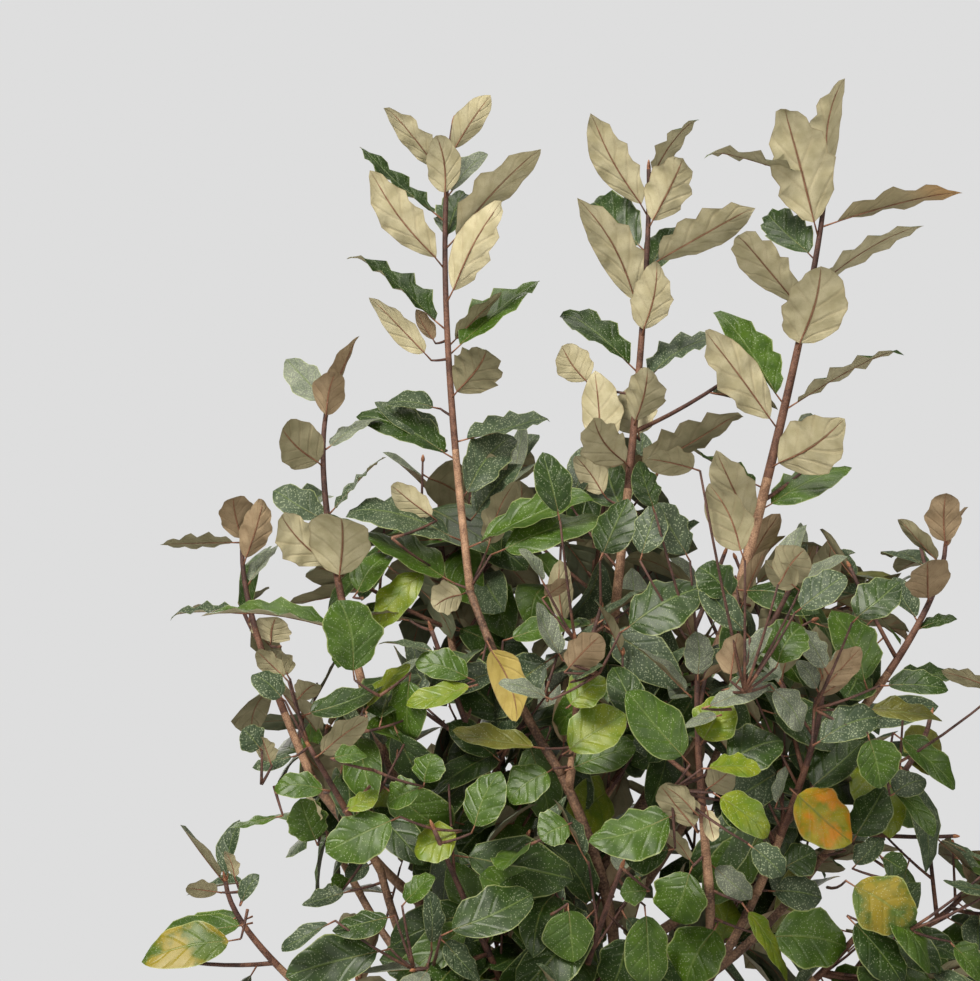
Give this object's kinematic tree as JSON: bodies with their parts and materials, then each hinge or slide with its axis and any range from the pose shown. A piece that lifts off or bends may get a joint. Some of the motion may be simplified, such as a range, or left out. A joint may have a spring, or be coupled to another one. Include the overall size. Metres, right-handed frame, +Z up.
{
  "type": "potted elaeagnus",
  "caption": "Young, open, many-stemmed evergreen shrub with speckled, wavy-edged leaves, growing in a plain round nursery pot.",
  "frame": {"origin": "centre of the pot's flat underside", "axes": "+Z up along the pot's axis, -Y towards the side that is usually looked at, +X to that viewer's right"},
  "size_m": [0.6749, 0.5384, 1.0216],
  "materials": {
    "pot": "dark moulded plastic, satin, lightly scuffed",
    "soil": "coarse damp bark compost",
    "bark": "thin brown bark, scaly, purple-brown on the young shoots",
    "foliage": "leathery evergreen leaf, green and finely speckled above, silvery to bronze below"
  },
  "bodies": {
    "root": {"pot": "pot", "soil": "soil", "trunk": "bark", "bough_front": "bark", "bough_tall_left": "bark", "bough_tall_middle": "bark", "bough_tall_right": "bark", "bough_left": "bark", "bough_outer_left": "bark", "bough_lower_left": "bark", "bough_low_left": "bark", "bough_right_front": "bark", "bough_right": "bark", "bough_outer_right": "bark", "bough_far_right": "bark", "bough_middle_right": "bark", "bough_low_right": "bark", "bough_back_left": "bark", "bough_back_middle": "bark", "bough_back_right": "bark", "bough_rear_left": "bark", "bough_rear_right": "bark", "bough_rear_low": "bark", "mass_tall_left": "foliage", "mass_tall_middle": "foliage", "mass_tall_right": "foliage", "mass_left": "foliage", "mass_outer_left": "foliage", "mass_outer_right": "foliage", "mass_middle_right": "foliage", "mass_front": "foliage", "mass_right_front": "foliage", "mass_right": "foliage", "mass_far_right": "foliage", "mass_low_right": "foliage", "mass_lower_left": "foliage", "mass_low_left": "foliage", "mass_inner_left": "foliage", "mass_inner_right": "foliage", "mass_centre_right": "foliage", "mass_back_left": "foliage", "mass_back_middle": "foliage", "mass_back_right": "foliage", "mass_rear_left": "foliage", "mass_rear_right": "foliage", "mass_rear_low": "foliage", "mass_front_left": "foliage", "mass_front_middle": "foliage", "mass_foot_front": "foliage", "mass_foot_left": "foliage", "mass_foot_right": "foliage", "mass_foot_back": "foliage"}
  },
  "joints": []
}
